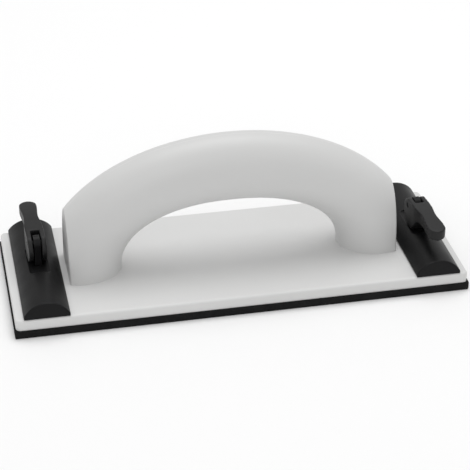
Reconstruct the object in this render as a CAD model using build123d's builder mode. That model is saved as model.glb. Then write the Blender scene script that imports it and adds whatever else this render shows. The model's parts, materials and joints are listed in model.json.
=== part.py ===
"""Hand sanding block: a ribbed plate on a foam pad, a hollow arch handle and two cam-lever paper clamps.

Frame: millimetres, +Z up, X along the block, origin at the centre of the pad's sanding face.
The clamp at -X is the one at +X turned half a turn about Z, so each clamp piece is made once, for the +X end,
with its own x = 0 on the clamp's centre line, and then placed twice.
"""

from build123d import *
from math import cos, pi, radians, sin
import os

# ---------------------------------------------------------------- driving dimensions (mm)
pad_length = 236.6
pad_width = 90.0
pad_thickness = 4.3
pad_corner_radius = 0.9

plate_inset = 0.8  # the pad stands out this far round the plate
plate_thickness = 5.7
plate_corner_radius = 2.5
plate_edge_radius = 1.3
plate_skin = 2.5
rib_thickness = 1.6
rib_columns = 9
rib_rows = 3
island_wall = 3.2  # round the screw heads and the link feet

handle_height = 70.5  # crown above the plate
handle_outer_half_span = 100.0  # half span of the outer ellipse, before the ends are cut flat
handle_end_x = 86.7  # the flat ends
handle_end_edge_radius = 1.2
grip_gap_half_span = 58.0
grip_gap_height = 34.0
grip_gap_exponent = 2.25  # above 2 squares the gap's shoulders a little
leg_half_width = 17.3
crown_half_width = 14.8
handle_wall = 3.0
arch_station_angles = range(0, 120, 15)  # degrees, from the foot to just past the crown
seam_lip_height = 1.4
seam_clearance = 0.08

screw_diameter = 3.9
screw_head_diameter = 7.4
screw_head_height = 2.4
screw_head_chamfer = 0.8
screw_cross_width = 0.9
screw_length = 16.0
screw_boss_diameter = 8.4
screw_recess_clearance = 0.3
base_screw_x = 76.0
base_screw_y = 7.0
shell_screw_leg_x = 71.0
shell_screw_leg_height = 33.0  # above the plate
shell_screw_seat_y = 5.0

clamp_end_gap = 4.25  # plate end to clamp bar
bar_width = 23.4
bar_length = 88.4
bar_height = 7.8
bar_side_height = 1.2
bar_end_draft = 1.4
bar_edge_radius = 0.8
bar_wall = 2.0
bar_rest_gap = 0.2
bar_rib_thickness = 1.5
saddle_depth = 1.3
saddle_length = 25.0
saddle_corner_radius = 2.0

guide_peg_diameter = 4.5
guide_peg_clearance = 0.3
guide_peg_tip_gap = 0.4  # above the pad

jaw_strip_width = 3.0
jaw_strip_thickness = 1.9
seat_strip_thickness = 1.2
strip_end_margin = 4.0
jaw_strip_offset = 8.0  # centre, outward of the clamp's centre line

lever_width = 9.6
lever_neck_width = 7.7
lever_paddle_width = 9.2
lever_neck_at = 20.0
lever_paddle_at = 31.0
lever_length = 36.8  # pivot to tip
lever_nose_radius = 3.8
lever_top_at_middle = 4.7  # heights above the pivot
lever_top_at_tip = 3.9
lever_under_at_tip = -1.8
lever_under_at_middle = -1.2
lever_under_at_heel = -2.6
lever_heel_front = 14.0  # where the underside meets the heel
lever_heel_radius = 2.7
lever_fork_end = 9.0  # the fork's sides are parallel up to here
lever_tip_overrun = 2.4  # the side profile runs on past the rounded tip
lever_side_clearance = 0.4
lever_yaw = 1.9  # degrees that each lever's arm leans outward, away from the hand
fork_slot_width = 4.5
fork_slot_end = 5.6

cam_height = 11.2  # pivot above the saddle when closed
cam_heel_length = 7.0
cam_curve_steps = 6
lift = 5.0  # bar travel over the lever's full swing
lever_swing = 90.0
cam_clearance = 0.1

link_thickness = 3.2
link_width = 8.0
link_foot_length = 14.0
link_foot_width = 10.0
link_foot_thickness = 2.0
link_clearance = 0.25

pin_diameter = 2.4
pin_running_clearance = 0.05
pin_recess = 0.4
pin_chamfer = 0.2

spring_wire = 0.7
spring_mean_radius = 5.1
spring_turns = 5
spring_seat_depth = 1.0
spring_seat_clearance = 0.3
spring_end_clearance = 0.05

# ---------------------------------------------------------------- derived places
plate_length = pad_length - 2 * plate_inset
plate_width = pad_width - 2 * plate_inset
plate_bottom = pad_thickness
plate_top = plate_bottom + plate_thickness
clamp_x = plate_length / 2 - clamp_end_gap - bar_width / 2
bar_bottom = plate_top + bar_rest_gap
bar_top = bar_bottom + bar_height
saddle_z = bar_top - saddle_depth
pivot_z = saddle_z + cam_clearance + cam_height
bar_ceiling = saddle_z - bar_wall
bar_rib_pitch = (bar_length - saddle_length) / 6  # two ribs and the end wall, evenly spaced
guide_peg_y = saddle_length / 2 + bar_rib_pitch
lift_per_radian = lift / radians(lever_swing)
yawed = Location((0, 0, 0), (0, 0, lever_yaw))
shell_screw_crown_z = plate_top + (handle_height + grip_gap_height) / 2
shell_screw_leg_z = plate_top + shell_screw_leg_height
big = 4 * pad_length

clamp_places = {
    "left": Location((-clamp_x, 0, 0), (0, 0, 180)),
    "right": Location((clamp_x, 0, 0)),
}
clamp_centres = [(-clamp_x, 0), (clamp_x, 0)]
yawed_clamp_centres = [Location((x, y, 0), (0, 0, lever_yaw)) for x, y in clamp_centres]
guide_peg_places = [(x, side * guide_peg_y) for x, y in clamp_centres for side in (-1, 1)]
seat_strip_places = [(side * (clamp_x + jaw_strip_offset), 0) for side in (-1, 1)]
base_screw_places = [
    (side * base_screw_x, face * base_screw_y) for side in (-1, 1) for face in (-1, 1)
]
shell_screw_places = [
    (-shell_screw_leg_x, shell_screw_leg_z),
    (0, shell_screw_crown_z),
    (shell_screw_leg_x, shell_screw_leg_z),
]


def save(part, name):
    """Labels a finished piece and writes it under its node name."""
    part.label = name
    export_step(part, f"parts/{name}.step")


# ---------------------------------------------------------------- base
def make_foam_pad():
    with BuildPart() as pad:
        with BuildSketch():
            RectangleRounded(pad_length, pad_width, pad_corner_radius)
        extrude(amount=pad_thickness)
    return pad.part


def make_base_plate():
    rim = plate_corner_radius
    inner_length = plate_length - 2 * rim
    inner_width = plate_width - 2 * rim
    cell_length = (inner_length - (rib_columns - 1) * rib_thickness) / rib_columns
    cell_width = (inner_width - (rib_rows - 1) * rib_thickness) / rib_rows
    island_depth = plate_thickness - plate_skin
    with BuildPart() as plate:
        with BuildSketch(Plane.XY.offset(plate_bottom)):
            RectangleRounded(plate_length, plate_width, plate_corner_radius)
        extrude(amount=plate_thickness)
        fillet(plate.faces().sort_by(Axis.Z)[-1].edges(), plate_edge_radius)
        # The underside is a grid of cells; the islands round screws and links are then filled again.
        with BuildSketch(Plane.XY.offset(plate_bottom)):
            pitch_x = cell_length + rib_thickness
            pitch_y = cell_width + rib_thickness
            with GridLocations(pitch_x, pitch_y, rib_columns, rib_rows):
                Rectangle(cell_length, cell_width)
        extrude(amount=island_depth, mode=Mode.SUBTRACT)
        with BuildSketch(Plane.XY.offset(plate_bottom)):
            with Locations(*base_screw_places):
                Circle(screw_head_diameter / 2 + island_wall)
            with Locations(*yawed_clamp_centres):
                Rectangle(link_foot_width + 2 * island_wall, link_foot_length + 2 * island_wall)
            with Locations(*guide_peg_places):
                Circle(guide_peg_diameter / 2 + guide_peg_clearance + rib_thickness)
        extrude(amount=island_depth)
        # Screw holes, with heads sunk into the underside.
        head_recess = screw_head_height + screw_recess_clearance
        with BuildSketch(Plane.XY.offset(plate_bottom)):
            with Locations(*base_screw_places):
                Circle(screw_head_diameter / 2 + screw_recess_clearance)
        extrude(amount=head_recess, mode=Mode.SUBTRACT)
        with BuildSketch(Plane.XY.offset(plate_bottom)):
            with Locations(*base_screw_places):
                Circle(screw_diameter / 2)
        extrude(amount=plate_thickness, mode=Mode.SUBTRACT)
        with BuildSketch(Plane.XY.offset(plate_bottom)):
            with Locations(*guide_peg_places):
                Circle(guide_peg_diameter / 2 + guide_peg_clearance)
        extrude(amount=plate_thickness, mode=Mode.SUBTRACT)
        # Link slots, foot pockets, spring seats and channels for the seat strips.
        with BuildSketch(Plane.XY.offset(plate_bottom)):
            with Locations(*yawed_clamp_centres):
                Rectangle(link_thickness + 2 * link_clearance, link_width + 2 * link_clearance)
        extrude(amount=plate_thickness, mode=Mode.SUBTRACT)
        with BuildSketch(Plane.XY.offset(plate_bottom)):
            with Locations(*yawed_clamp_centres):
                Rectangle(link_foot_width + 2 * link_clearance, link_foot_length + 2 * link_clearance)
        extrude(amount=link_foot_thickness + link_clearance, mode=Mode.SUBTRACT)
        with BuildSketch(Plane.XY.offset(plate_top - spring_seat_depth)):
            with Locations(*clamp_centres):
                Circle(spring_mean_radius + spring_wire / 2 + spring_seat_clearance)
        extrude(amount=spring_seat_depth, mode=Mode.SUBTRACT)
        with BuildSketch(Plane.XY.offset(plate_top - seat_strip_thickness)):
            with Locations(*seat_strip_places):
                Rectangle(jaw_strip_width, bar_length - 2 * strip_end_margin)
        extrude(amount=seat_strip_thickness, mode=Mode.SUBTRACT)
    return plate.part


# ---------------------------------------------------------------- handle
def arch_station(angle):
    """The arch's outer and inner points and its half width, at an angle round the arch from the +X foot."""
    c, s = cos(radians(angle)), sin(radians(angle))
    side = 1 if c >= 0 else -1
    power = 2 / grip_gap_exponent
    outer = Vector(handle_outer_half_span * c, 0, plate_top + handle_height * s)
    inner = Vector(
        side * grip_gap_half_span * abs(c) ** power, 0, plate_top + grip_gap_height * abs(s) ** power
    )
    return outer, inner, leg_half_width + (crown_half_width - leg_half_width) * s


def make_arch(inset, end_x):
    """The arch with its surface taken in by inset all round and its ends cut flat at +-end_x."""
    with BuildPart() as arch:
        for angle in arch_station_angles:
            outer, inner, half_width = arch_station(angle)
            across = (outer - inner).normalized()
            with BuildSketch(Plane((outer + inner) / 2, x_dir=across, z_dir=across.cross(Vector(0, 1, 0)))):
                Ellipse((outer - inner).length / 2 - inset, half_width - inset)
        loft()
        # The last station lies just past the crown, so that the two mirrored halves meet smoothly.
        Box(end_x, big, big, align=(Align.MIN, Align.CENTER, Align.CENTER), mode=Mode.INTERSECT)
        mirror(about=Plane.YZ)
    return arch.part


def make_handle_body():
    """The whole handle as one solid, with its flat ends' edges softened."""
    arch = make_arch(0, handle_end_x)
    with BuildPart() as body:
        add(arch)
        end_faces = body.faces().filter_by(Plane.YZ).group_by(Axis.X)
        end_edges = (end_faces[0] + end_faces[-1]).edges()
        above_foot = end_edges.filter_by(lambda edge: edge.center().Z > plate_top + handle_end_edge_radius)
        fillet(above_foot, handle_end_edge_radius)
    return body.part


def make_seam_ring(outside, hollow, depth):
    """What lies inside an outside and outside the hollow, from the seam to depth in front of it."""
    with BuildPart() as ring:
        add(outside)
        add(hollow, mode=Mode.SUBTRACT)
        Box(big, depth, big, align=(Align.CENTER, Align.MAX, Align.CENTER), mode=Mode.INTERSECT)
    return ring.part


def make_bosses(face, core):
    """One shell's bosses for the base screws and the shell screws, ending inside the handle's wall."""
    places = [place for place in base_screw_places if place[1] * face > 0]
    shell_boss_radius = screw_boss_diameter / 2
    if face > 0:
        shell_boss_radius += rib_thickness
    with BuildPart() as bosses:
        with BuildSketch(Plane.XY.offset(plate_top)):
            with Locations(*places):
                Circle(screw_boss_diameter / 2)
            with Locations(*[(x, y + face * leg_half_width / 2) for x, y in places]):
                Rectangle(rib_thickness, leg_half_width)
        extrude(amount=screw_length + screw_diameter)
        with BuildSketch(Plane.XZ):
            with Locations(*shell_screw_places):
                Circle(shell_boss_radius)
        extrude(amount=-face * leg_half_width)
        add(core, mode=Mode.INTERSECT)
    return bosses.part


def make_handle_shell(face, body, core, hollow):
    """One half of the hollow handle: face is -1 for the front shell and 1 for the rear one, with the lip."""
    half_space = (Align.CENTER, Align.MIN if face > 0 else Align.MAX, Align.CENTER)
    bosses = make_bosses(face, core)
    if face > 0:
        lip = make_seam_ring(core, hollow, seam_lip_height)
    else:
        lip_inset = handle_wall / 2 - seam_clearance
        round_lip = make_arch(lip_inset, handle_end_x - lip_inset)
        groove = make_seam_ring(round_lip, hollow, seam_lip_height + seam_clearance)
    with BuildPart() as shell:
        add(body)
        add(hollow, mode=Mode.SUBTRACT)
        Box(big, big, big, align=half_space, mode=Mode.INTERSECT)
        add(bosses)
        if face > 0:
            add(lip)
        else:
            add(groove, mode=Mode.SUBTRACT)
        with BuildSketch(Plane.XY.offset(plate_top)):
            with Locations(*base_screw_places):
                Circle(screw_diameter / 2)
        extrude(amount=screw_length, mode=Mode.SUBTRACT)
        # The shell screws go in from behind: a through hole and a sunk seat there, a blind hole in front.
        with BuildSketch(Plane.XZ.offset(-shell_screw_seat_y)):
            with Locations(*shell_screw_places):
                Circle(screw_diameter / 2)
        extrude(amount=screw_length + seam_clearance, mode=Mode.SUBTRACT)
        with BuildSketch(Plane.XZ.offset(-shell_screw_seat_y)):
            with Locations(*shell_screw_places):
                Circle(screw_head_diameter / 2 + screw_recess_clearance)
        extrude(amount=-leg_half_width, mode=Mode.SUBTRACT)
    return shell.part


def make_screw():
    """A pan-head tapping screw along +Z, with its head's seat at z = 0."""
    with BuildPart() as screw:
        with BuildSketch(Plane.XZ):
            with BuildLine():
                top = -screw_head_height
                Polyline(
                    (0, top),
                    (screw_head_diameter / 2 - screw_head_chamfer, top),
                    (screw_head_diameter / 2, top + screw_head_chamfer),
                    (screw_head_diameter / 2, 0),
                    (screw_diameter / 2, 0),
                    (screw_diameter / 2, screw_length - screw_diameter),
                    (0, screw_length),
                    close=True,
                )
            make_face()
        revolve(axis=Axis.Z)
        with BuildSketch(Plane.XY.offset(-screw_head_height)):
            Rectangle(screw_diameter, screw_cross_width)
            Rectangle(screw_cross_width, screw_diameter)
        extrude(amount=screw_head_height / 2, mode=Mode.SUBTRACT)
    return screw.part


# ---------------------------------------------------------------- clamp, in its own frame
def bar_section(wall):
    """The bar's domed cross-section, taken in by wall at the sides and the top."""
    edge = bar_width / 2 - wall
    shoulder = bar_bottom + bar_side_height - wall
    floor = min(shoulder, bar_bottom) - wall
    with BuildSketch(Plane.XZ) as section:
        with BuildLine():
            Polyline((edge, shoulder), (edge, floor), (-edge, floor), (-edge, shoulder))
            ThreePointArc((-edge, shoulder), (0, bar_top - wall), (edge, shoulder))
        make_face()
    return section.sketch


def make_bar_cavity():
    """The bar's hollow underside, clear of the solid jaw side, the saddle and the cross ribs."""
    inner_side = bar_wall - bar_width / 2
    jaw_side = jaw_strip_offset - jaw_strip_width / 2 - bar_wall
    rib_places = [(0, side * (saddle_length / 2 + n * bar_rib_pitch)) for side in (-1, 1) for n in (1, 2)]
    over_ceiling = (Align.CENTER, Align.CENTER, Align.MIN)
    with BuildPart() as cavity:
        extrude(bar_section(bar_wall), bar_length / 2 - bar_end_draft - bar_wall, both=True)
        with Locations(((inner_side + jaw_side) / 2, 0)):
            Box(jaw_side - inner_side, bar_length, big, mode=Mode.INTERSECT)
        with Locations((0, 0, bar_ceiling)):
            Box(bar_width, saddle_length + 2 * bar_wall, big, align=over_ceiling, mode=Mode.SUBTRACT)
        with Locations(*rib_places):
            Box(bar_width, bar_rib_thickness, big, mode=Mode.SUBTRACT)
    return cavity.part


def make_clamp_bar():
    half_length = bar_length / 2
    cavity = make_bar_cavity()
    with BuildPart() as bar:
        extrude(bar_section(0), half_length, both=True)
        with BuildSketch(Plane.YZ):
            with BuildLine():
                Polyline(
                    (-half_length, bar_bottom),
                    (half_length, bar_bottom),
                    (half_length - bar_end_draft, bar_top),
                    (-half_length + bar_end_draft, bar_top),
                    close=True,
                )
            make_face()
        extrude(amount=bar_width / 2, both=True, mode=Mode.INTERSECT)
        fillet(bar.edges().filter_by(GeomType.ELLIPSE), bar_edge_radius)
        add(cavity, mode=Mode.SUBTRACT)
        # Pegs that slide in the plate and keep the bar level.
        with BuildSketch(Plane.XY.offset(plate_bottom + guide_peg_tip_gap)):
            with Locations((0, -guide_peg_y), (0, guide_peg_y)):
                Circle(guide_peg_diameter / 2)
        extrude(amount=bar_ceiling - plate_bottom - guide_peg_tip_gap)
        with BuildSketch(Plane.XY.offset(bar_bottom)):
            Circle(spring_mean_radius + spring_wire / 2 + spring_seat_clearance)
        extrude(amount=bar_ceiling - bar_bottom, mode=Mode.SUBTRACT)
        # Saddle for the cam, slot for the draw link, channel for the jaw strip.
        with BuildSketch(Plane.XY.offset(saddle_z)):
            with Locations(yawed):
                RectangleRounded(lever_width + 2 * lever_side_clearance, saddle_length, saddle_corner_radius)
        extrude(amount=bar_height, mode=Mode.SUBTRACT)
        with Locations(yawed):
            Box(link_thickness + 2 * link_clearance, link_width + 2 * link_clearance, big, mode=Mode.SUBTRACT)
        with Locations((jaw_strip_offset, 0, bar_bottom)):
            Box(
                jaw_strip_width,
                bar_length - 2 * strip_end_margin,
                jaw_strip_thickness,
                align=(Align.CENTER, Align.CENTER, Align.MIN),
                mode=Mode.SUBTRACT,
            )
    return bar.part


def make_strip(bottom, thickness):
    """A rubber strip under the bar's outer side."""
    with BuildPart() as strip:
        with Locations((jaw_strip_offset, 0, bottom)):
            Box(
                jaw_strip_width,
                bar_length - 2 * strip_end_margin,
                thickness,
                align=(Align.CENTER, Align.CENTER, Align.MIN),
            )
    return strip.part


def make_draw_link():
    foot_bottom = plate_bottom
    with BuildPart() as link:
        with BuildSketch(Plane.YZ):
            with Locations((0, (foot_bottom + pivot_z) / 2)):
                Rectangle(link_width, pivot_z - foot_bottom)
            with Locations((0, pivot_z)):
                Circle(link_width / 2)
                Circle(pin_diameter / 2 + pin_running_clearance, mode=Mode.SUBTRACT)
        extrude(amount=link_thickness / 2, both=True)
        with Locations((0, 0, foot_bottom)):
            Box(
                link_foot_width,
                link_foot_length,
                link_foot_thickness,
                align=(Align.CENTER, Align.CENTER, Align.MIN),
            )
    return link.part


def make_pivot_pin():
    with BuildPart() as pin:
        with BuildSketch(Plane.YZ):
            with Locations((0, pivot_z)):
                Circle(pin_diameter / 2)
        extrude(amount=lever_width / 2 - pin_recess, both=True)
        chamfer(pin.edges().filter_by(GeomType.CIRCLE), pin_chamfer)
    return pin.part


def cam_point(turn):
    """A point of the cam's involute, as distance towards the lever's tip and height above the pivot.

    Its height over the saddle falls evenly with the lever's turn, so the bar's lift is proportional to it.
    """
    height = cam_height - lift_per_radian * turn
    return (
        lift_per_radian * cos(turn) - height * sin(turn),
        -height * cos(turn) - lift_per_radian * sin(turn),
    )


def make_cam_lever():
    """The closed lever: its fork is over the saddle and its arm points to -Y."""

    def at(reach, height):
        return (-reach, pivot_z + height)

    open_height = cam_height - lift
    turns = [radians(lever_swing) * n / cam_curve_steps for n in range(cam_curve_steps + 1)]
    past_tip = lever_length + lever_tip_overrun
    with BuildPart() as lever:
        with BuildSketch(Plane.YZ) as side:
            with BuildLine():
                Line(at(cam_heel_length, -cam_height), at(lift_per_radian, -cam_height))
                Spline(
                    *[at(*cam_point(turn)) for turn in turns],
                    tangents=[(1, 0), (0, 1)],
                )
                Spline(
                    at(-open_height, -lift_per_radian),
                    at(-lever_nose_radius * cos(pi / 4), lever_nose_radius * sin(pi / 4)),
                    at(0, lever_nose_radius),
                    tangents=[(0, 1), (-1, 0)],
                )
                ThreePointArc(
                    at(0, lever_nose_radius),
                    at(lever_length / 2, lever_top_at_middle),
                    at(past_tip, lever_top_at_tip),
                )
                Line(at(past_tip, lever_top_at_tip), at(past_tip, lever_under_at_tip))
                ThreePointArc(
                    at(past_tip, lever_under_at_tip),
                    at((past_tip + lever_heel_front) / 2, lever_under_at_middle),
                    at(lever_heel_front, lever_under_at_heel),
                )
                Line(at(lever_heel_front, lever_under_at_heel), at(cam_heel_length, -cam_height))
            make_face()
            heel_corner = side.vertices().sort_by_distance(at(lever_heel_front, lever_under_at_heel))[0]
            fillet(heel_corner, lever_heel_radius)
        extrude(amount=lever_width, both=True)
        with BuildSketch(Plane.XY.offset(pivot_z - 2 * cam_height)):
            with BuildLine():
                half = lever_width / 2
                paddle = lever_paddle_width / 2
                round_at = lever_length - paddle
                for side_sign in (-1, 1):
                    Line((side_sign * half, cam_height), (side_sign * half, -lever_fork_end))
                    Spline(
                        (side_sign * half, -lever_fork_end),
                        (side_sign * lever_neck_width / 2, -lever_neck_at),
                        (side_sign * paddle, -lever_paddle_at),
                        (side_sign * paddle, -round_at),
                        tangents=[(0, -1), (0, -1)],
                    )
                Line((-half, cam_height), (half, cam_height))
                ThreePointArc((-paddle, -round_at), (0, -lever_length), (paddle, -round_at))
            make_face()
        extrude(amount=4 * cam_height, mode=Mode.INTERSECT)
        # Fork slot for the draw link, open at the top, the nose and the heel, and the pivot hole.
        with Locations((0, -fork_slot_end, pivot_z)):
            Box(
                fork_slot_width,
                big,
                big,
                align=(Align.CENTER, Align.MIN, Align.CENTER),
                mode=Mode.SUBTRACT,
            )
        with BuildSketch(Plane.YZ):
            with Locations((0, pivot_z)):
                Circle(pin_diameter / 2)
        extrude(amount=lever_width, both=True, mode=Mode.SUBTRACT)
    return lever.part


def make_lift_spring():
    """The spring as the closed clamp holds it, between the plate's seat and the bar's ceiling."""
    low = plate_top - spring_seat_depth + spring_end_clearance
    high = bar_ceiling - spring_end_clearance
    height = high - low - spring_wire
    with BuildPart() as spring:
        with BuildLine(Plane.XY.offset(low + spring_wire / 2)):
            coil = Helix(pitch=height / spring_turns, height=height, radius=spring_mean_radius)
        with BuildSketch(Plane(origin=coil @ 0, z_dir=coil % 0)):
            Circle(spring_wire / 2)
        sweep(path=coil, is_frenet=True)
    return spring.part


# ---------------------------------------------------------------- write every piece
os.makedirs("parts", exist_ok=True)
save(make_foam_pad(), "foam_pad")
save(make_base_plate(), "base_plate")
handle_body = make_handle_body()
handle_core = make_arch(handle_wall / 2, handle_end_x - handle_wall / 2)
handle_hollow = make_arch(handle_wall, handle_end_x - handle_wall)
save(make_handle_shell(-1, handle_body, handle_core, handle_hollow), "handle_front_shell")
save(make_handle_shell(1, handle_body, handle_core, handle_hollow), "handle_rear_shell")

screw = make_screw()
base_screw_seat = plate_bottom + screw_head_height + screw_recess_clearance
save(
    Compound([screw.moved(Location((x, y, base_screw_seat))) for x, y in base_screw_places]),
    "handle_base_screws",
)
save(
    Compound(
        [screw.moved(Location((x, shell_screw_seat_y, z), (90, 0, 0))) for x, z in shell_screw_places]
    ),
    "handle_shell_screws",
)

clamp_pieces = {
    "clamp_bar": make_clamp_bar(),
    "jaw_strip": make_strip(bar_bottom, jaw_strip_thickness),
    "seat_strip": make_strip(plate_top - seat_strip_thickness, seat_strip_thickness),
    "draw_link": make_draw_link().moved(yawed),
    "pivot_pin": make_pivot_pin().moved(yawed),
    "cam_lever": make_cam_lever().moved(yawed),
    "lift_spring": make_lift_spring(),
}
for end, place in clamp_places.items():
    for name, piece in clamp_pieces.items():
        save(piece.moved(place), f"{end}_{name}")
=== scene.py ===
"""The looks of the hand sanding block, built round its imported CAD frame. Metres, +Z up."""

import json
import math

import bpy
from mathutils import Matrix, Vector, noise


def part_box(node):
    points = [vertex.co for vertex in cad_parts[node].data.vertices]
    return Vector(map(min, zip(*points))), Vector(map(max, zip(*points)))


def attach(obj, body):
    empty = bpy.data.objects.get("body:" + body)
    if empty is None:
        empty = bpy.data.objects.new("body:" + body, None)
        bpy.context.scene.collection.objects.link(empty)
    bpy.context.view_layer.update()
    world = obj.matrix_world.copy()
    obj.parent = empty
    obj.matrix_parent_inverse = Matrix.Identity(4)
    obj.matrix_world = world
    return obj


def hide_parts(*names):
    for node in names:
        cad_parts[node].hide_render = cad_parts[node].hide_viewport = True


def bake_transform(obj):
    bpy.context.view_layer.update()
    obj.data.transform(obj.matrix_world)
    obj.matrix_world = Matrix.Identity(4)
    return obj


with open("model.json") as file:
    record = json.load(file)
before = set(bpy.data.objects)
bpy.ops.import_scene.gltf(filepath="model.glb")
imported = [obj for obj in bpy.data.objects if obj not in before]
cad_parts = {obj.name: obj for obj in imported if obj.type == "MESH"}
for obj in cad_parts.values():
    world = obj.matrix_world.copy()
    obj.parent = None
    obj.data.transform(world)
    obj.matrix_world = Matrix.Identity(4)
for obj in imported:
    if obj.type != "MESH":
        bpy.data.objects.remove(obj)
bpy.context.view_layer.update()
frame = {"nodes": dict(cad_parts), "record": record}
mm = 0.001

# ---------------------------------------------------------------- camera, floor and light
view_azimuth = math.radians(-11.76)
view_elevation = math.radians(30.86)
view_roll = math.radians(0.22)
view_distance = 902.7 * mm
aim_right = 2.7 * mm
aim_up = 17.7 * mm
lens_mm = 129.8
sensor_mm = 36.0
nearest_seen = 10 * mm

floor_reach = 6.0
floor_tone = 0.9
floor_roughness = 0.8
sky_strength = 0.67
light_target = (0, 0, 0.03)
lights = {  # name: place, diameter and power
    "overhead": ((0.15, 0.35, 1.5), 1.2, 11),
    "front": ((-0.35, -1.35, 0.9), 0.9, 2.6),
}


def add_camera():
    """Looks along -back, with the frame's origin a little left of and below the picture's centre."""
    level = math.cos(view_elevation)
    back_x = math.sin(view_azimuth) * level
    back_y = -math.cos(view_azimuth) * level
    back = Vector((back_x, back_y, math.sin(view_elevation)))
    flat_right = Vector((math.cos(view_azimuth), math.sin(view_azimuth), 0))
    flat_up = back.cross(flat_right)
    right = flat_right * math.cos(view_roll) + flat_up * math.sin(view_roll)
    up = back.cross(right)
    data = bpy.data.cameras.new("camera")
    data.sensor_width = sensor_mm
    data.lens = lens_mm
    data.clip_start = nearest_seen
    camera = bpy.data.objects.new("camera", data)
    place = right * aim_right + up * aim_up + back * view_distance
    turn = Matrix((right, up, back)).transposed().to_4x4()
    camera.matrix_world = Matrix.Translation(place) @ turn
    bpy.context.scene.collection.objects.link(camera)
    bpy.context.scene.camera = camera


def add_area_light(name, place, size, power):
    """A round soft light that faces the object."""
    data = bpy.data.lights.new(name, "AREA")
    data.shape = "DISK"
    data.size = size
    data.energy = power
    lamp = bpy.data.objects.new(name, data)
    lamp.location = place
    lamp.rotation_euler = (Vector(light_target) - Vector(place)).to_track_quat("-Z", "Y").to_euler()
    bpy.context.scene.collection.objects.link(lamp)


def add_stage():
    """A pale paper floor under an even white sky, with the soft lights."""
    mesh = bpy.data.meshes.new("floor")
    reach = floor_reach
    corners = [(-reach, -reach, 0), (reach, -reach, 0), (reach, reach, 0), (-reach, reach, 0)]
    mesh.from_pydata(corners, [], [(0, 1, 2, 3)])
    floor = bpy.data.objects.new("floor", mesh)
    bpy.context.scene.collection.objects.link(floor)
    material = bpy.data.materials.new("floor_paper")
    material.use_nodes = True
    shader = material.node_tree.nodes["Principled BSDF"]
    shader.inputs["Base Color"].default_value = (floor_tone, floor_tone, floor_tone, 1)
    shader.inputs["Roughness"].default_value = floor_roughness
    mesh.materials.append(material)
    world = bpy.data.worlds.new("studio")
    world.use_nodes = True
    sky = world.node_tree.nodes["Background"]
    sky.inputs["Color"].default_value = (1, 1, 1, 1)
    sky.inputs["Strength"].default_value = sky_strength
    bpy.context.scene.world = world
    bpy.context.scene.view_settings.view_transform = "Standard"
    for name, (place, size, power) in lights.items():
        add_area_light(name, place, size, power)


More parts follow.
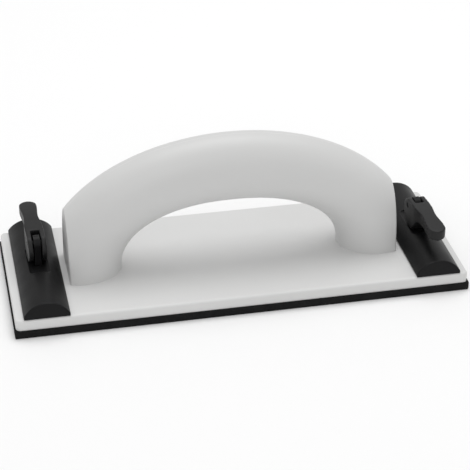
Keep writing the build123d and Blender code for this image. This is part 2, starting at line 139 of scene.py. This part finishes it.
# ---------------------------------------------------------------- materials
class Nodes:
    """One material's node tree, with short calls for the few nodes that these materials use."""

    def __init__(self, name):
        self.material = bpy.data.materials.new(name)
        self.material.use_nodes = True
        self.tree = self.material.node_tree
        self.shader = self.tree.nodes["Principled BSDF"]
        self.place = self.add("ShaderNodeTexCoord").outputs["Object"]

    def add(self, kind, **settings):
        node = self.tree.nodes.new(kind)
        for key, value in settings.items():
            setattr(node, key, value)
        return node

    def link(self, source, socket):
        self.tree.links.new(source, socket)

    def noise(self, size, detail=3.0, roughness=0.5, stretch=(1, 1, 1)):
        """Noise whose lumps are about size across, drawn out along an axis where stretch is above 1."""
        mapping = self.add("ShaderNodeMapping")
        mapping.inputs["Scale"].default_value = [1 / s for s in stretch]
        self.link(self.place, mapping.inputs["Vector"])
        node = self.add("ShaderNodeTexNoise")
        node.inputs["Scale"].default_value = 1 / size
        node.inputs["Detail"].default_value = detail
        node.inputs["Roughness"].default_value = roughness
        self.link(mapping.outputs["Vector"], node.inputs["Vector"])
        return node.outputs["Fac"]

    def cells(self, size):
        """The distance to the middle of the nearest of many cells, each about size across."""
        node = self.add("ShaderNodeTexVoronoi")
        node.inputs["Scale"].default_value = 1 / size
        self.link(self.place, node.inputs["Vector"])
        return node.outputs["Distance"]

    def spread(self, value, low, high, out_low=0.0, out_high=1.0):
        """value from low..high mapped to out_low..out_high and clamped."""
        node = self.add("ShaderNodeMapRange")
        node.inputs["From Min"].default_value = low
        node.inputs["From Max"].default_value = high
        node.inputs["To Min"].default_value = out_low
        node.inputs["To Max"].default_value = out_high
        self.link(value, node.inputs["Value"])
        return node.outputs["Result"]

    def math(self, operation, a, b):
        """a and b, each a number or another node's output, joined by an operation."""
        node = self.add("ShaderNodeMath", operation=operation)
        for socket, value in zip(node.inputs, (a, b)):
            if isinstance(value, (int, float)):
                socket.default_value = value
            else:
                self.link(value, socket)
        return node.outputs[0]

    def mix(self, factor, first, second):
        """A colour between first and second, each a colour or another node's output."""
        node = self.add("ShaderNodeMix", data_type="RGBA")
        self.link(factor, node.inputs["Factor"])
        for socket, value in ((node.inputs[6], first), (node.inputs[7], second)):
            if isinstance(value, tuple):
                socket.default_value = (*value, 1)
            else:
                self.link(value, socket)
        return node.outputs[2]

    def edges(self, width):
        """1 near the mesh's edges and 0 elsewhere."""
        bevel = self.add("ShaderNodeBevel", samples=6)
        bevel.inputs["Radius"].default_value = width
        flat_cosine = 0.98
        edge_cosine = 0.8
        flat = self.add("ShaderNodeNewGeometry").outputs["Normal"]
        dot = self.add("ShaderNodeVectorMath", operation="DOT_PRODUCT")
        self.link(bevel.outputs["Normal"], dot.inputs[0])
        self.link(flat, dot.inputs[1])
        return self.spread(dot.outputs["Value"], flat_cosine, edge_cosine)

    def bump(self, height, depth, strength=1.0, under=None):
        """A normal raised by height, from 0 to depth, on top of another normal where one is given."""
        node = self.add("ShaderNodeBump")
        node.inputs["Strength"].default_value = strength
        node.inputs["Distance"].default_value = depth
        self.link(height, node.inputs["Height"])
        if under is not None:
            self.link(under, node.inputs["Normal"])
        return node.outputs["Normal"]

    def finish(self, color, roughness, normal, metallic=0.0):
        """The finished material, with its colour, roughness and normal linked to the shader."""
        self.link(color, self.shader.inputs["Base Color"])
        self.link(roughness, self.shader.inputs["Roughness"])
        self.link(normal, self.shader.inputs["Normal"])
        self.shader.inputs["Metallic"].default_value = metallic
        return self.material


def moulded_plastic(name, tone, shade, worn_and_highlight, rough_low, rough_high, grain, shine):
    """Satin moulded plastic: faint flow marks, a fine spark-eroded grain and paler, polished edges, their
    paleness partly rubbed wear and partly a painted highlight.
    """
    n = Nodes(name)
    flow = n.noise(35 * mm, 2.0, 0.4, stretch=(3, 1, 1))
    specks = n.spread(n.noise(0.5 * mm, 2.0), 0.62, 0.75)
    color = n.mix(n.spread(flow, 0.3, 0.7), tone, shade)
    color = n.mix(n.math("MULTIPLY", specks, 0.25), color, shade)
    scuffs = n.spread(n.noise(6 * mm, 5.0, 0.7, stretch=(4, 1, 1)), 0.58, 0.8)
    # painted highlight: a band along every edge is mixed toward the paler edge colour, partly rubbed wear
    # and partly a painted edge highlight
    edge_wear_and_highlight = n.math("MULTIPLY", n.edges(0.8 * mm), n.spread(n.noise(9 * mm, 4.0), 0.35, 0.7, 0.15, 0.8))
    color = n.mix(edge_wear_and_highlight, color, worn_and_highlight)
    roughness = n.spread(n.noise(14 * mm, 4.0), 0.3, 0.7, rough_low, rough_high)
    roughness = n.math("ADD", roughness, n.math("MULTIPLY", scuffs, 0.08))
    roughness = n.math("SUBTRACT", roughness, n.math("MULTIPLY", edge_wear_and_highlight, 0.06))
    normal = n.bump(n.noise(90 * mm, 1.0), 0.4 * mm, 0.25)
    normal = n.bump(n.noise(0.45 * mm, 3.0), grain, 0.6, normal)
    n.shader.inputs["Specular IOR Level"].default_value = shine
    return n.finish(color, roughness, normal)


def pad_foam():
    """Dense closed-cell foam: matte, with small cells cut open along its faces."""
    n = Nodes("pad_foam")
    cell = n.cells(0.55 * mm)
    walls = n.spread(cell, 0.2, 0.6)
    # painted shade: the colour darkens toward the middle of each cut-open cell, the bottom of the pit that
    # the bump makes
    color = n.mix(walls, (0.003, 0.003, 0.003), (0.009, 0.009, 0.0093))
    color = n.mix(n.spread(n.noise(12 * mm, 4.0), 0.5, 0.8, 0.0, 0.5), color, (0.016, 0.016, 0.016))
    n.shader.inputs["Specular IOR Level"].default_value = 0.2
    roughness = n.spread(n.noise(3 * mm), 0.3, 0.7, 0.82, 0.95)
    normal = n.bump(n.noise(5 * mm, 3.0), 0.15 * mm, 0.5)
    normal = n.bump(walls, 0.12 * mm, 0.8, normal)
    return n.finish(color, roughness, normal)


def blackened_steel():
    """Steel with a thin black finish, rubbed through in spots."""
    n = Nodes("black_steel")
    rubbed = n.spread(n.noise(0.8 * mm, 4.0), 0.55, 0.75)
    color = n.mix(rubbed, (0.012, 0.012, 0.013), (0.05, 0.05, 0.05))
    roughness = n.spread(n.noise(0.5 * mm), 0.3, 0.7, 0.4, 0.55)
    return n.finish(color, roughness, n.bump(n.noise(0.3 * mm, 3.0), 0.02 * mm, 0.5), metallic=0.6)


def grip_rubber():
    """Soft black rubber with a dusty bloom and fine pores."""
    n = Nodes("grip_rubber")
    bloom = n.spread(n.noise(4 * mm, 5.0), 0.45, 0.75, 0.0, 0.6)
    color = n.mix(bloom, (0.018, 0.018, 0.018), (0.045, 0.045, 0.044))
    n.shader.inputs["Specular IOR Level"].default_value = 0.25
    roughness = n.spread(n.noise(2 * mm), 0.3, 0.7, 0.68, 0.85)
    return n.finish(color, roughness, n.bump(n.noise(0.4 * mm, 4.0), 0.05 * mm, 0.7))


def plated_steel(name, tone, shade, stretch):
    """Bright steel with drawn or turned lines and a few dull spots."""
    n = Nodes(name)
    lines = n.noise(0.25 * mm, 3.0, 0.6, stretch=stretch)
    color = n.mix(n.spread(n.noise(2 * mm, 4.0), 0.35, 0.75), tone, shade)
    dulled = n.spread(n.noise(3 * mm), 0.5, 0.8, 0.0, 0.15)
    roughness = n.math("ADD", n.spread(lines, 0.3, 0.7, 0.22, 0.36), dulled)
    return n.finish(color, roughness, n.bump(lines, 0.015 * mm, 0.5), metallic=1.0)


materials = {
    "light_plastic": moulded_plastic(
        "light_plastic",
        tone=(0.635, 0.635, 0.63),
        shade=(0.59, 0.59, 0.585),
        worn_and_highlight=(0.72, 0.72, 0.72),
        rough_low=0.36,
        rough_high=0.46,
        grain=0.02 * mm,
        shine=0.4,
    ),
    # painted light: the handle's grey plastic made paler here, the extra paleness lifting the shade that
    # the handle casts on the plate
    "plate_plastic": moulded_plastic(
        "plate_plastic",
        tone=(0.69, 0.69, 0.685),
        shade=(0.65, 0.65, 0.645),
        worn_and_highlight=(0.77, 0.77, 0.77),
        rough_low=0.42,
        rough_high=0.52,
        grain=0.03 * mm,
        shine=0.35,
    ),
    "black_plastic": moulded_plastic(
        "black_plastic",
        tone=(0.004, 0.004, 0.0043),
        shade=(0.006, 0.006, 0.0063),
        worn_and_highlight=(0.02, 0.02, 0.02),
        rough_low=0.36,
        rough_high=0.48,
        grain=0.03 * mm,
        shine=0.17,
    ),
    "lever_plastic": moulded_plastic(
        "lever_plastic",
        tone=(0.008, 0.008, 0.0083),
        shade=(0.012, 0.012, 0.0123),
        worn_and_highlight=(0.03, 0.03, 0.03),
        rough_low=0.4,
        rough_high=0.5,
        grain=0.03 * mm,
        shine=0.27,
    ),
    "pad_foam": pad_foam(),
    "grip_rubber": grip_rubber(),
    "zinc_steel": plated_steel("zinc_steel", (0.6, 0.6, 0.58), (0.42, 0.42, 0.41), (1, 1, 6)),
    "black_steel": blackened_steel(),
    "spring_steel": plated_steel("spring_steel", (0.4, 0.4, 0.39), (0.3, 0.3, 0.29), (6, 6, 1)),
}


# ---------------------------------------------------------------- pieces
def add_piece(name, verts, faces, material):
    """A mesh object of one material, with its points in the frame."""
    mesh = bpy.data.meshes.new(name)
    mesh.from_pydata(verts, [], faces)
    mesh.materials.append(material)
    piece = bpy.data.objects.new(name, mesh)
    bpy.context.scene.collection.objects.link(piece)
    return piece


def rounded_outline(half_x, half_y, radius, step):
    """Points step apart round a rectangle with rounded corners, each with its outward direction."""
    points = []
    corners = [(1, 1, 0), (-1, 1, 90), (-1, -1, 180), (1, -1, 270)]
    arc_steps = max(3, round(radius * math.pi / 2 / step))
    for index, (sx, sy, start) in enumerate(corners):
        centre = Vector((sx * (half_x - radius), sy * (half_y - radius)))
        for k in range(arc_steps + 1):
            angle = math.radians(start + 90 * k / arc_steps)
            out = Vector((math.cos(angle), math.sin(angle)))
            points.append((centre + out * radius, out))
        side = 2 * (half_y - radius) if index % 2 else 2 * (half_x - radius)
        along = Vector((-out.y, out.x))
        count = round(side / step)
        last = points[-1][0]
        points += [(last + along * (side * k / count), out) for k in range(1, count)]
    return points


def make_foam_pad():
    """The pad: a knife-cut slab with bulging sides, cells torn along the cut and a rolled lower edge."""
    low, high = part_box("foam_pad")
    thick = high.z - low.z
    corner_radius = 0.9 * mm
    point_spacing = 0.55 * mm
    cut = 0.08 * mm
    cell_size = 0.8 * mm
    swell = 0.1 * mm
    roll = 0.2 * mm
    top_inset = 0.1 * mm
    # Each level is a share of the thickness and how far the side is set in there.
    levels = [(0, roll), (0.04, roll * 0.45), (0.12, roll * 0.12)]
    levels += [(share, 0) for share in (0.2, 0.32, 0.44, 0.56, 0.68, 0.8, 0.92)]
    levels.append((1, top_inset))
    outline = rounded_outline(high.x, high.y, corner_radius, point_spacing)
    count = len(outline)
    verts = []
    for share, inset in levels:
        bulge = swell * (4 * share * (1 - share) - 1)
        for point, out in outline:
            at = Vector((*point, low.z + share * thick))
            torn = 0 if share in (0, 1) else cut * (noise.noise(at / cell_size) - 0.6)
            place = point + out * (bulge + torn - inset)
            verts.append((place.x, place.y, at.z))
    faces = []
    for row in range(len(levels) - 1):
        for k in range(count):
            a, b = row * count + k, row * count + (k + 1) % count
            faces.append((a, b, b + count, a + count))
    faces.append(tuple(reversed(range(count))))
    faces.append(tuple(range(len(verts) - count, len(verts))))
    pad = add_piece("foam_pad_cut", verts, faces, materials["pad_foam"])
    for face in pad.data.polygons[:-2]:
        face.use_smooth = True
    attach(pad, "block")
    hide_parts("foam_pad")


def make_grip_strip(name, body, toothed_top):
    """A rubber strip in the CAD strip's box, with low teeth across the face that grips the sheet.

    Known fault: where toothed_top is true, the strip's faces point inward.
    """
    low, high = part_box(name)
    face_z, back_z, into = (high.z, low.z, -1) if toothed_top else (low.z, high.z, 1)
    pitch = 1.4 * mm
    depth = 0.4 * mm
    tooth_rounding = 0.08 * mm
    half_teeth = 2 * round((high.y - low.y) / pitch)
    verts = []
    for k in range(half_teeth + 1):
        y = low.y + (high.y - low.y) * k / half_teeth
        tooth_z = face_z + (into * depth if k % 2 == 0 else 0)
        verts += [(low.x, y, tooth_z), (high.x, y, tooth_z), (high.x, y, back_z), (low.x, y, back_z)]
    last = 4 * half_teeth
    faces = [(0, 1, 2, 3), (last + 3, last + 2, last + 1, last)]
    for k in range(0, last, 4):
        faces += [(k + a, k + 4 + a, k + 4 + (a + 1) % 4, k + (a + 1) % 4) for a in range(4)]
    strip = add_piece(name + "_toothed", verts, faces, materials["grip_rubber"])
    bevel = strip.modifiers.new("bevel", "BEVEL")
    bevel.width = tooth_rounding
    bevel.segments = 2
    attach(strip, body)
    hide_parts(name)


def make_lift_spring(name):
    """A coil spring with closed ends, set between the plate and the bar."""
    low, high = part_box(name)
    wire_radius = 0.35 * mm
    turns = 5
    steps = 24 * turns
    sides = 10
    closed = 0.1  # share of the wire's length that lies flat at each end
    centre = (low + high) / 2
    radius = (high.x - low.x) / 2 - wire_radius
    verts = []
    for step in range(steps + 1):
        share = min(max((step / steps - closed) / (1 - 2 * closed), 0), 1)
        angle = 2 * math.pi * turns * step / steps
        out = Vector((math.cos(angle), math.sin(angle), 0))
        height = low.z + wire_radius + (high.z - low.z - 2 * wire_radius) * share
        coil = Vector((centre.x, centre.y, height)) + out * radius
        for side in range(sides):
            turn = 2 * math.pi * side / sides
            rise = Vector((0, 0, wire_radius * math.sin(turn)))
            verts.append(coil + out * (wire_radius * math.cos(turn)) + rise)
    faces = [tuple(range(sides)), tuple(reversed(range(steps * sides, (steps + 1) * sides)))]
    for step in range(steps):
        for side in range(sides):
            a, b = step * sides + side, step * sides + (side + 1) % sides
            faces.append((a, a + sides, b + sides, b))
    spring = add_piece(name + "_coil", verts, faces, materials["spring_steel"])
    for face in spring.data.polygons[2:]:
        face.use_smooth = True
    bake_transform(spring)
    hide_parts(name)


def melt_edges(node, voxel, rounds):
    """Rounds a moulded node's edges with modifiers: a voxel remesh, then rounds of smoothing."""
    remesh = node.modifiers.new("remesh", "REMESH")
    remesh.mode = "VOXEL"
    remesh.voxel_size = voxel
    remesh.use_smooth_shade = True
    smooth = node.modifiers.new("smooth", "SMOOTH")
    smooth.factor = 0.5
    smooth.iterations = rounds


def dress_cad_nodes():
    """Each CAD node gets its slot's material, the levers a greyer black, and levers and bars soft edges."""
    lever_voxel = 0.25 * mm
    lever_rounds = 30
    bar_voxel = 0.3 * mm
    bar_rounds = 3
    slots = {part["node"]: part["material_slot"] for part in frame["record"]["subparts"]}
    for name, node in frame["nodes"].items():
        finish = "lever_plastic" if name.endswith("cam_lever") else slots[name]
        node.data.materials.clear()
        node.data.materials.append(materials[finish])
        if name.endswith("cam_lever"):
            melt_edges(node, lever_voxel, lever_rounds)
        elif name.endswith("clamp_bar"):
            melt_edges(node, bar_voxel, bar_rounds)


# ---------------------------------------------------------------- everything in its place
add_camera()
add_stage()
dress_cad_nodes()
make_foam_pad()
for end in ("left", "right"):
    make_grip_strip(end + "_jaw_strip", end + "_bar", toothed_top=False)
    make_grip_strip(end + "_seat_strip", "block", toothed_top=True)
    make_lift_spring(end + "_lift_spring")
